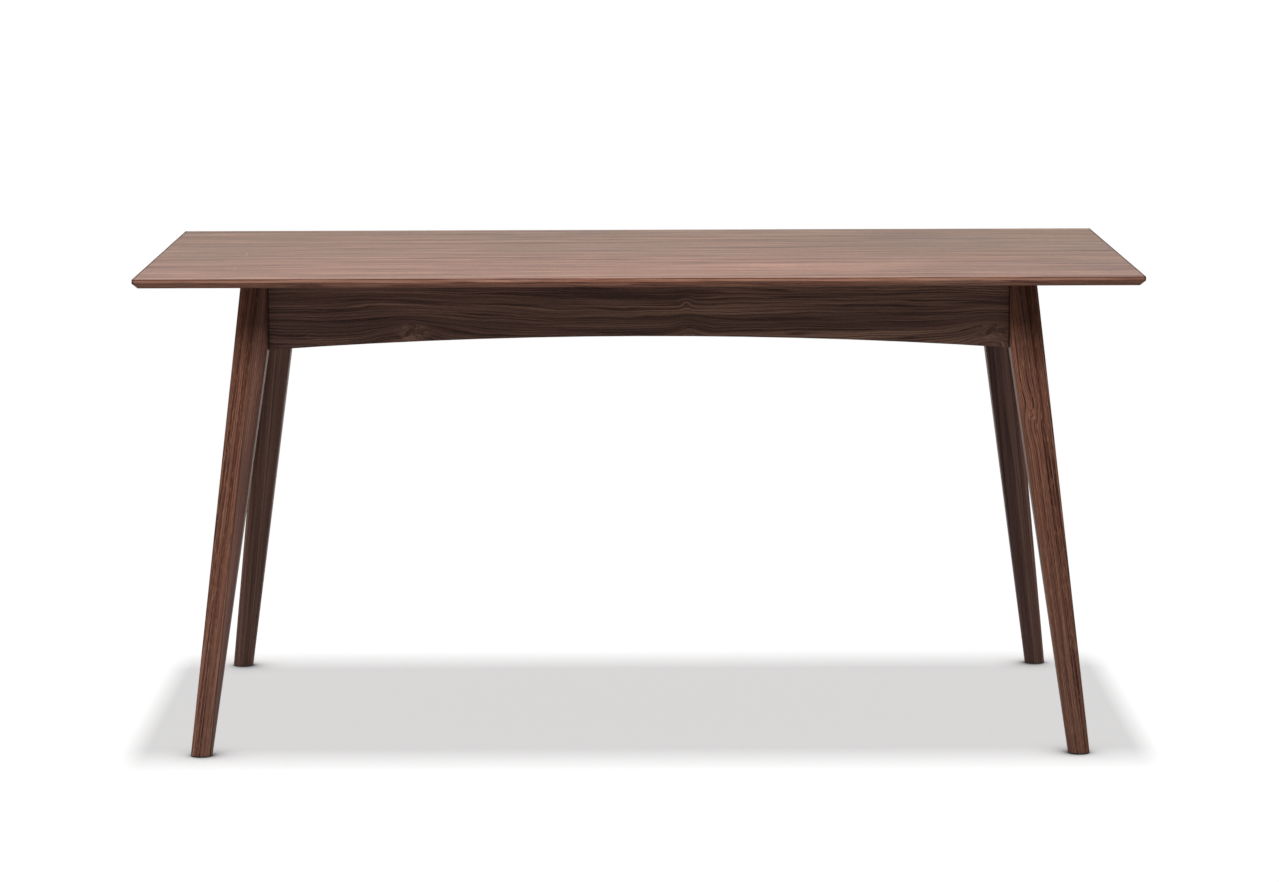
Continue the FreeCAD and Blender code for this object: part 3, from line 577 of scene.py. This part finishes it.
# The aprons. The front and back ones have two knots each, and waves by the middle.
APRON_KNOTS = (
    Spot(-0.362, 0.668, 0.090, 0.050, 0.012),
    Spot(-0.374, 0.664, 0.038, 0.030, 0.013),
    Spot(0.572, 0.667, 0.090, 0.050, 0.012),
    Spot(0.560, 0.663, 0.038, 0.030, 0.013),
    Spot(0.077, 0.723, 0.009, 0.012, 0.006),
    Spot(0.082, 0.689, 0.026, 0.015, 0.009),
    Spot(0.080, 0.668, 0.024, 0.012, 0.006),
)
APRON_HEARTS = (Spot(-0.362, 0.676, 0.032, 0.016), Spot(0.572, 0.675, 0.032, 0.016))
LONG_END, SHORT_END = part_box("front_apron")[1].x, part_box("left_apron")[1].y
APRONS = (
    # node, board, knots, hearts, where it ends, seed of its grain
    ("front_apron", front_board, APRON_KNOTS, APRON_HEARTS, LONG_END, 23.0),
    ("back_apron", front_board, APRON_KNOTS, APRON_HEARTS, LONG_END, 22.0),
    ("left_apron", end_board, (), (), SHORT_END, 26.0),
    ("right_apron", end_board, (), (), SHORT_END, 27.0),
)
for node, board, knots, hearts, end, seed in APRONS:
    material = wood(
        f"walnut_{node}", APRON_LOOKS, board, knots, hearts, finish=apron_finish(end), seed=seed
    )
    dress(node, material)

# The legs. foot_tint: colour times this at the foot. outer_gain: painted light, tone times this on the
# outer
# half. top_shade: painted shade, tone less this on that half under the top.
Leg = namedtuple("Leg", "looks foot_tint outer_gain top_shade seam knots hearts", defaults=(None, (), ()))
KNOTTY = {
    "knots": (
        Spot(0.558, -0.007, 0.024, 0.013, 0.0070),
        Spot(0.532, -0.010, 0.026, 0.012, -0.0060),
    ),
    "hearts": (Spot(0.545, -0.008, 0.014, 0.007),),
}
LEGS = {
    "back_right": Leg(BACK_LEG_LOOKS, WHITE, 1.04, 0.0, seam=heartwood),
    "back_left": Leg(PALE_LEG_LOOKS, WHITE, 1.04, 0.0),
    "front_left": Leg(LEG_LOOKS, (1.16, 1.24, 1.32, 1), 1.32, 0.38, seam=glue_line),
    "front_right": Leg(LEG_LOOKS, (0.90, 0.99, 1.05, 1), 1.22, 0.62, **KNOTTY),
}
for index, (corner, side_x, side_y) in enumerate(CORNERS):
    leg, board = LEGS[corner], leg_board(side_x, side_y)
    material = wood(
        f"walnut_{corner}_leg",
        leg.looks,
        board,
        leg.knots,
        leg.hearts,
        seam=leg.seam,
        finish=leg_finish(board, leg),
        seed=20.0 + index,
    )
    dress(f"{corner}_leg", material)
    dress(f"{corner}_corner_block", wood(f"block_{corner}", FRAME_LOOKS, end_board, seed=30.0 + index))
for node, seed in (("left_cross_rail", 55.0), ("right_cross_rail", 56.0)):
    dress(node, wood(f"wood_{node}", FRAME_LOOKS, end_board, seed=seed))


# ---------------------------------------------------------------------------------------------
# Metal and plastic
# ---------------------------------------------------------------------------------------------
def zinc(name, tone, roughness):
    """Zinc plated steel: a slow bloom, fine scuffs and dull spots."""
    s = new_material(name)
    point = s.vector(*s.place())
    bloom = s.noise(point, scale=90.0, detail=3.0, roughness=0.6)
    spots = s.noise(point, scale=700.0, detail=2.0, roughness=0.6)
    scuff = s.noise(point, scale=2600.0, detail=1.0, roughness=0.5)
    dull = (0.86 * level for level in tone)
    colour = s.mix(s.remap(bloom, 0.35, 0.65), linear(*tone), linear(*dull))
    colour = s.mix(s.smooth(spots, 0.62, 0.72, 0.0, 0.5), colour, linear(122, 116, 104))
    rough = s.total(roughness, s.centred(bloom, 0.25))
    height = s.product(s.total(scuff, spots), 0.000006)
    return s.finish(colour, rough, (height, 0.5), Metallic=1.0)


def plastic(name, tone):
    """Moulded plastic with a fine sand texture and stains."""
    s = new_material(name)
    point = s.vector(*s.place())
    sand = s.noise(point, scale=3500.0, detail=1.0, roughness=0.5)
    stain = s.noise(point, scale=160.0, detail=3.0, roughness=0.6)
    dull = (0.72 * level for level in tone)
    colour = s.mix(s.remap(stain, 0.40, 0.72), linear(*tone), linear(*dull))
    rough = s.remap(stain, 0.3, 0.7, 0.45, 0.62)
    height = s.product(sand, 0.00002)
    return s.finish(colour, rough, (height, 0.4), **{"Specular IOR Level": 0.4})


ZINC = zinc("zinc_steel", (196, 198, 200), 0.36)
DARK_ZINC = zinc("zinc_threads", (168, 170, 172), 0.42)
BRASSED = zinc("screw_steel", (188, 172, 128), 0.38)
GLIDE = plastic("glide_plastic", (170, 166, 158))

# ---------------------------------------------------------------------------------------------
# Fasteners and glides: sizes as the CAD source names them, and of what the solids leave out
# ---------------------------------------------------------------------------------------------
BOLT_GRIP = 0.035  # in the leg
BOLT_POINT = 0.006
BOLT_OVERHANG = 0.007  # past the nut
BLOCK_GAP = 0.003
BLOCK_THICKNESS = 0.036
WASHER_THICKNESS = 0.002
NUT_HEIGHT = 0.0065
NUT_FLAT = 0.0065  # middle of a nut to a flat
BOLT_LENGTH = (
    BOLT_GRIP + BLOCK_GAP + BLOCK_THICKNESS + WASHER_THICKNESS + NUT_HEIGHT + BOLT_OVERHANG
)
BOLT_DROP, BOLT_SPACING = 0.021, 0.035
UPPER_BOLT = UNDERSIDE - BOLT_DROP
LOWER_BOLT = UPPER_BOLT - BOLT_SPACING

# Distances inwards along a corner's diagonal, from the inside corner of the apron frame.
LEG_FLAT = 0.00703
BLOCK_INNER = LEG_FLAT + BLOCK_GAP + BLOCK_THICKNESS
BLOCK_SCREW = 0.034

BLOCK_SCREW_SIDE = 0.020  # from that diagonal
BLOCK_SCREW_LENGTH = 0.085
RAIL_SCREW_LENGTH = 0.030
RAIL_SCREW_PLACES = (-0.19, 0.0, 0.19)  # along Y
HEAD_PROUD = 0.0002  # how far a screw's head stands out of the wood
GLIDE_THICKNESS = 0.0015

# Half sections of a glide, round its nail's head, and of the nail: (radius, height).
GLIDE_OUTLINE = (
    (0.0046, 0.0009),
    (0.0050, 0.0002),
    (0.0055, 0.0),
    (0.0104, 0.0),
    (0.0108, 0.0002),
    (0.0110, 0.0005),
    (0.0110, 0.0014),
    (0.0109, GLIDE_THICKNESS),
)
NAIL_OUTLINE = (
    (0.0008, 0.00025),
    (0.0020, 0.00035),
    (0.0028, 0.0006),
    (0.0030, 0.0008),
    (0.0028, 0.0010),
    (0.0010, 0.0011),
    (0.0010, 0.0160),
    (0.0002, 0.0185),
)


def add_piece(name, vertices, faces, material, slot, smooth_angle=35.0):
    """A closed mesh that rides on the table."""
    mesh = bpy.data.meshes.new(name)
    mesh.from_pydata(vertices, [], faces)
    shape = bmesh.new()
    shape.from_mesh(mesh)
    bmesh.ops.recalc_face_normals(shape, faces=shape.faces)
    shape.to_mesh(mesh)
    shape.free()
    mesh.materials.append(material)
    mesh.shade_smooth()
    mesh.set_sharp_from_angle(angle=math.radians(smooth_angle))
    piece = bpy.data.objects.new(name, mesh)
    scene.collection.objects.link(piece)
    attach(piece, "root")
    return piece


def turned(heights, around, radius_at):
    """A closed surface round Z. radius_at(index of the height, angle) gives its radius."""
    vertices = [(0.0, 0.0, heights[0])]
    for index, height in enumerate(heights):
        for step in range(around):
            angle = 2 * math.pi * step / around
            radius = radius_at(index, angle)
            vertices.append((radius * math.cos(angle), radius * math.sin(angle), height))
    vertices.append((0.0, 0.0, heights[-1]))
    last = len(vertices) - 1
    faces = []
    for step in range(around):
        following = (step + 1) % around
        faces.append((0, 1 + following, 1 + step))
        for index in range(len(heights) - 1):
            a = 1 + index * around
            b = a + around
            faces.append((a + step, a + following, b + following, b + step))
        a = 1 + (len(heights) - 1) * around
        faces.append((a + step, a + following, last))
    return vertices, faces


def lathe(outline, around):
    """A closed surface round Z from its half section, a list of (radius, height)."""
    return turned([height for _, height in outline], around, lambda index, angle: outline[index][0])


def ring_solid(outline, around, shape_at):
    """A closed ring round Z. outline holds points (radius, height) of its section, in order, and
    shape_at(index, angle, radius, height) gives the point at an angle."""
    vertices, faces = [], []
    count = len(outline)
    for step in range(around):
        angle = 2 * math.pi * step / around
        for index, point in enumerate(outline):
            radius, height = shape_at(index, angle, *point)
            vertices.append((radius * math.cos(angle), radius * math.sin(angle), height))
    for step in range(around):
        a, b = step * count, (step + 1) % around * count
        for index in range(count):
            after = (index + 1) % count
            faces.append((a + index, b + index, b + after, a + after))
    return vertices, faces


def gather(groups):
    """Joins (vertices, faces, matrix) groups into one mesh's lists."""
    vertices, faces = [], []
    for group_vertices, group_faces, matrix in groups:
        first = len(vertices)
        vertices.extend(tuple(matrix @ Vector(point)) for point in group_vertices)
        faces.extend(tuple(first + corner for corner in face) for face in group_faces)
    return vertices, faces


def steps(start, end, step):
    """Heights from start, a step apart, below end."""
    heights = []
    height = start
    while height < end:
        heights.append(height)
        height += step
    return heights


def machine_tooth(turn):
    """Height of a machine thread, 0 at its root and 1 at its crest, over one turn."""
    return max(0.0, min(1.0, (0.5 - abs(turn % 1.0 - 0.5)) * 2.6 - 0.15))


def wood_tooth(turn):
    """Height of a wood thread, a narrow ridge on a wide root, over one turn."""
    return max(0.0, 1 - abs(turn % 1.0 - 0.5) * 5)


def hanger_bolt():
    """A hanger bolt along Z: wood thread from z = 0, machine thread to its end."""
    bare, tip = 0.001, 0.0008  # from each thread to the middle, and to the turned-off end
    wood_heights = steps(0.0, BOLT_GRIP - bare, 0.0005)
    machine_heights = steps(BOLT_GRIP + bare, BOLT_LENGTH - tip, 0.00025)
    heights = [*wood_heights, *machine_heights, BOLT_LENGTH]
    wood_core, wood_thread, wood_pitch = 0.0029, 0.0010, 0.0032
    core, thread, pitch, end = 0.00335, 0.00060, 0.00125, 0.0030

    def radius_at(index, angle):
        height, turn = heights[index], angle / (2 * math.pi)
        if index < len(wood_heights):
            slim = min(1.0, 0.12 + 0.88 * height / BOLT_POINT)
            return slim * (wood_core + wood_thread * wood_tooth(height / wood_pitch - turn))
        if index < len(heights) - 1:
            return core + thread * machine_tooth(height / pitch - turn)
        return end

    return turned(heights, around=20, radius_at=radius_at)


def hexagon_nut():
    """An M8 nut round Z from z = 0: corners turned off, and a countersunk bore."""
    bore, countersunk, sink, face = 0.0041, 0.0043, 0.0004, 0.95 * NUT_FLAT
    outline = [
        (countersunk, 0.0),
        (face, 0.0),
        (NUT_FLAT, 0.0),
        (NUT_FLAT, NUT_HEIGHT),
        (face, NUT_HEIGHT),
        (countersunk, NUT_HEIGHT),
        (bore, NUT_HEIGHT - sink),
        (bore, sink),
    ]

    def hexagon(index, angle, radius, height):
        """Moves the two outer points of the section out to the hexagon, and down its cone."""
        if index not in (2, 3):
            return radius, height
        within = (angle + math.pi / 6) % (math.pi / 3) - math.pi / 6
        wide = NUT_FLAT / math.cos(within)
        drop = (wide - face) * math.tan(math.radians(30))
        return wide, height + drop if index == 2 else height - drop

    return ring_solid(outline, around=72, shape_at=hexagon)


def cross_radius(angle, reach=0.0022, thick=0.00055):
    """Edge of the cross recess in a screw's head, seen from its middle."""
    off = abs((angle + math.pi / 4) % (math.pi / 2) - math.pi / 4)
    return min(reach / math.cos(off), thick / max(math.sin(off), 1e-6))


def wood_screw(length):
    """A countersunk screw along Z, its head's face at z = 0 and its point at the top."""
    head, rim, cone, pit = 0.0041, 0.0002, 0.0026, 0.0014
    shank, thread, pitch = 0.0020, 0.0008, 0.0028
    threaded = steps(max(cone + 0.002, length - 0.025), length - 0.003, 0.0008)
    heights = [pit, 0.0, 0.0, rim, cone, *threaded, length - 0.0015, length]

    def radius_at(index, angle):
        if index == 0:
            return 0.6 * cross_radius(angle)
        if index == 1:
            return cross_radius(angle)
        if index == 2:
            return head - rim
        height = heights[index]
        if height <= cone:
            return head + (shank - head) * (height - rim) / (cone - rim)
        slim = min(1.0, 0.05 + (length - height) / 0.004)
        turn = height / pitch - angle / (2 * math.pi)
        return slim * (shank * 0.75 + thread * wood_tooth(turn))

    return turned(heights, around=48, radius_at=radius_at)


RIGHT_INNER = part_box("right_apron")[0].x
BACK_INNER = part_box("back_apron")[0].y


def inward(side_x, side_y):
    """The direction of a corner's diagonal, into the frame."""
    return Vector((-side_x, -side_y, 0)).normalized()


def on_diagonal(side_x, side_y, distance, height):
    """A point on a corner's diagonal, so far inwards from the inside corner of the frame."""
    inside = Vector((side_x * RIGHT_INNER, side_y * BACK_INNER, height))
    return inside + inward(side_x, side_y) * distance


def rolled(turn_to=Matrix()):
    """Turns a piece round its own Z by chance, and then by turn_to."""
    return turn_to @ Matrix.Rotation(random.uniform(0, 6), 4, "Z")


random.seed(11)
bolt, nut = hanger_bolt(), hexagon_nut()
bolt_groups, nut_groups = [], []
for corner, side_x, side_y in CORNERS:
    pointing = inward(side_x, side_y).to_track_quat("Z", "Y").to_matrix().to_4x4()
    for height in (UPPER_BOLT, LOWER_BOLT):
        start = on_diagonal(side_x, side_y, LEG_FLAT - BOLT_GRIP, height)
        bolt_groups.append((*bolt, Matrix.Translation(start) @ rolled(pointing)))
        seat = on_diagonal(side_x, side_y, BLOCK_INNER + WASHER_THICKNESS, height)
        nut_groups.append((*nut, Matrix.Translation(seat) @ rolled(pointing)))
bolts = add_piece("hanger_bolt_threads", *gather(bolt_groups), DARK_ZINC, "zinc_steel", 60.0)
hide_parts("hanger_bolts")
nuts = add_piece("hexagon_nuts", *gather(nut_groups), ZINC, "zinc_steel", 25.0)
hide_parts("hanger_bolt_nuts")
dress("hanger_bolt_washers", ZINC)

screw_groups = []
rail_low, rail_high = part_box("right_cross_rail")
rail_screw, rail_x = wood_screw(RAIL_SCREW_LENGTH), (rail_low.x + rail_high.x) / 2
for side in (-1, 1):
    for y in RAIL_SCREW_PLACES:
        spot = Vector((side * rail_x, y, rail_low.z - HEAD_PROUD))
        screw_groups.append((*rail_screw, Matrix.Translation(spot) @ rolled()))
block_screw = wood_screw(BLOCK_SCREW_LENGTH)
for corner, side_x, side_y in CORNERS:
    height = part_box(f"{corner}_corner_block")[0].z - HEAD_PROUD
    middle = on_diagonal(side_x, side_y, BLOCK_SCREW, height)
    sideways = Vector((0, 0, 1)).cross(inward(side_x, side_y))
    for offset in (-BLOCK_SCREW_SIDE, BLOCK_SCREW_SIDE):
        spot = middle + sideways * offset
        screw_groups.append((*block_screw, Matrix.Translation(spot) @ rolled()))
add_piece("wood_screws", *gather(screw_groups), BRASSED, "zinc_steel")

glide_groups, nail_groups = [], []
glide_x, glide_y = FOOT_X - LEAN * GLIDE_THICKNESS, FOOT_Y - LEAN * GLIDE_THICKNESS
for corner, side_x, side_y in CORNERS:
    place = Matrix.Translation((side_x * glide_x, side_y * glide_y, 0.0))
    glide_groups.append((*lathe(GLIDE_OUTLINE, around=64), place))
    nail_groups.append((*lathe(NAIL_OUTLINE, around=32), place))
glides = add_piece("glides", *gather(glide_groups), GLIDE, "glide_plastic")
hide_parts("foot_glides")
add_piece("glide_nails", *gather(nail_groups), ZINC, "zinc_steel")

# ---------------------------------------------------------------------------------------------
# Floor, light and camera
# ---------------------------------------------------------------------------------------------
FLOOR_REACH = 60.0
FLOOR_BOUNCE = 0.74  # how much of the light the floor sends back to the table
FLOOR_GAIN = 2.63  # brings the lit floor up to white where the camera sees it
FLOOR_GLOW = 0.62  # white mixed in under the table, which thins the shadow
GLOW_FROM, GLOW_TO = 1.15, 1.9  # distances from the middle between which the floor turns white
CONTACT_REACH = 0.085  # of the small shadows round the feet
WORLD_FILL = 0.08
FLAG_X, FLAG_FRONT, FLAG_BACK, FLAG_TOP = 1.35, -0.8, 1.5, 0.74

# The camera was solved from the photo: its place, its turns in degrees, its focal length and the
# photo's width in pixels.
CAMERA_PLACE = (-0.0153, -6.856, 1.468)
YAW, PITCH, ROLL = 0.1366, 8.3953, -0.1726
FOCAL_LENGTH, PHOTO_WIDTH = 4115, 1279
SENSOR_WIDTH = 36.0

LAMPS = (
    # name, place, target, size, level
    ("overhead", (0, 0, 30.0), (0, 0, 0), (1.7, 6.6), 0.36),
    ("front_key", (0, -2.3, 3.0), (0, -0.1, 0.5), (4.4, 1.2), 0.66),
    ("left_fill", (-3.4, 0.5, 1.1), (-0.6, 0, 0.5), (1.6, 1.6), 0.14),
    ("right_fill", (3.4, 0.5, 1.1), (0.6, 0, 0.5), (1.6, 1.6), 0.14),
    ("back_fill", (0, 3.8, 1.2), (0, 0.3, 0.5), (3.0, 1.2), 0.28),
)


def panel(name, corners):
    """A flat four-cornered sheet of the studio."""
    mesh = bpy.data.meshes.new(name)
    mesh.from_pydata(corners, [], [(0, 1, 2, 3)])
    sheet = bpy.data.objects.new(name, mesh)
    scene.collection.objects.link(sheet)
    return sheet


def diffuse(s, level):
    """A matt grey shader."""
    return s.node("ShaderNodeBsdfDiffuse", {"Color": (level, level, level, 1)}).outputs[0]


def glowing(s, colour):
    """A shader that is seen as its colour, whatever the light."""
    return s.node("ShaderNodeEmission", {"Color": colour, "Strength": 1.0}).outputs[0]


def make_floor():
    """A floor that is seen as white with the table's shadow, and sends back a plain grey's light."""
    reach = FLOOR_REACH
    floor = panel("floor", [(-reach, -reach, 0), (reach, -reach, 0), (reach, reach, 0), (-reach, reach, 0)])
    s = new_material("floor")
    x, y, _ = s.place()
    far = s.math("SQRT", s.total(s.product(x, x), s.product(y, y)))
    glow = s.smooth(far, GLOW_FROM, GLOW_TO, FLOOR_GLOW, 1.0)
    shown = s.blend(glow, diffuse(s, FLOOR_GAIN), glowing(s, WHITE))
    # Soft contact shadows round the feet.
    contact = {"Distance": CONTACT_REACH}
    open_sky = s.node("ShaderNodeAmbientOcclusion", contact, samples=16).outputs["AO"]
    shown = s.blend(s.smooth(open_sky, 0.40, 0.98, 0.95, 0.0), shown, glowing(s, BLACK))
    lit = s.blend(s.looked_at(), diffuse(s, FLOOR_BOUNCE), shown)
    # From below the floor is clear, so that the table's underside shows.
    clear = s.node("ShaderNodeBsdfTransparent").outputs[0]
    under = s.node("ShaderNodeNewGeometry").outputs["Backfacing"]
    floor.data.materials.append(s.show(s.blend(under, lit, clear)))
    return floor


def make_flag(name, x):
    """A dark panel beside the table. It shows only in glossy reflections, never to the camera."""
    front, back = FLAG_FRONT, FLAG_BACK
    flag = panel(name, [(x, front, 0.0), (x, back, 0.0), (x, back, FLAG_TOP), (x, front, FLAG_TOP)])
    s = new_material(name)
    flag.data.materials.append(s.show(diffuse(s, 0.02)))
    flag.visible_camera = flag.visible_diffuse = flag.visible_shadow = False
    flag.visible_transmission = flag.visible_volume_scatter = False


def make_world():
    """A weak even fill that is seen as white."""
    scene.world = bpy.data.worlds.new("studio")
    s = Shader(scene.world, "ShaderNodeOutputWorld")
    fill = s.node("ShaderNodeBackground", {"Color": WHITE, "Strength": WORLD_FILL}).outputs[0]
    white = s.node("ShaderNodeBackground", {"Color": WHITE, "Strength": 1.0}).outputs[0]
    s.show(s.blend(s.looked_at(), fill, white))


def area_light(name, place, target, size, level):
    """A rectangular lamp. level is how bright it makes a white face that is turned to it at its
    target."""
    data = bpy.data.lights.new(name, "AREA")
    data.shape = "RECTANGLE"
    data.size, data.size_y = size
    away = Vector(place) - Vector(target)
    # A lamp of power P lights a facing surface at distance d by P / (pi d^2), and a white surface
    # sends back that over pi.
    data.energy = level * math.pi * math.pi * away.length**2
    lamp = bpy.data.objects.new(name, data)
    lamp.location = place
    lamp.rotation_mode = "QUATERNION"
    lamp.rotation_quaternion = (-away).to_track_quat("-Z", "Y")
    lamp.visible_glossy = False
    scene.collection.objects.link(lamp)
    return lamp


def make_lamps(floor):
    """Only the lamp overhead lights the floor, so that it alone casts a shadow there."""
    all_but_floor = bpy.data.collections.new("all_but_floor")
    all_but_floor.objects.link(floor)
    all_but_floor.collection_objects[0].light_linking.link_state = "EXCLUDE"
    for setup in LAMPS:
        lamp = area_light(*setup)
        if lamp.name != "overhead":
            lamp.light_linking.receiver_collection = all_but_floor


def make_camera():
    """The photo's camera, in its place and with its framing."""
    yaw, pitch, roll = (math.radians(angle) for angle in (YAW, PITCH, ROLL))
    flat = math.cos(pitch)
    forward = Vector((math.sin(yaw) * flat, math.cos(yaw) * flat, -math.sin(pitch)))
    level = Vector((math.cos(yaw), -math.sin(yaw), 0))
    rise = level.cross(forward)
    right = math.cos(roll) * level + math.sin(roll) * rise
    up = -math.sin(roll) * level + math.cos(roll) * rise
    data = bpy.data.cameras.new("camera")
    data.sensor_fit = "HORIZONTAL"
    data.sensor_width = SENSOR_WIDTH
    data.lens = SENSOR_WIDTH * FOCAL_LENGTH / PHOTO_WIDTH
    data.clip_start, data.clip_end = 0.1, 200.0
    camera = bpy.data.objects.new("camera", data)
    axes = Matrix((right, up, -forward)).transposed().to_4x4()
    camera.matrix_world = Matrix.Translation(CAMERA_PLACE) @ axes
    scene.collection.objects.link(camera)
    scene.camera = camera


floor = make_floor()
make_flag("flag_left", -FLAG_X)
make_flag("flag_right", FLAG_X)
make_world()
make_lamps(floor)
make_camera()

scene.view_settings.view_transform = "Standard"
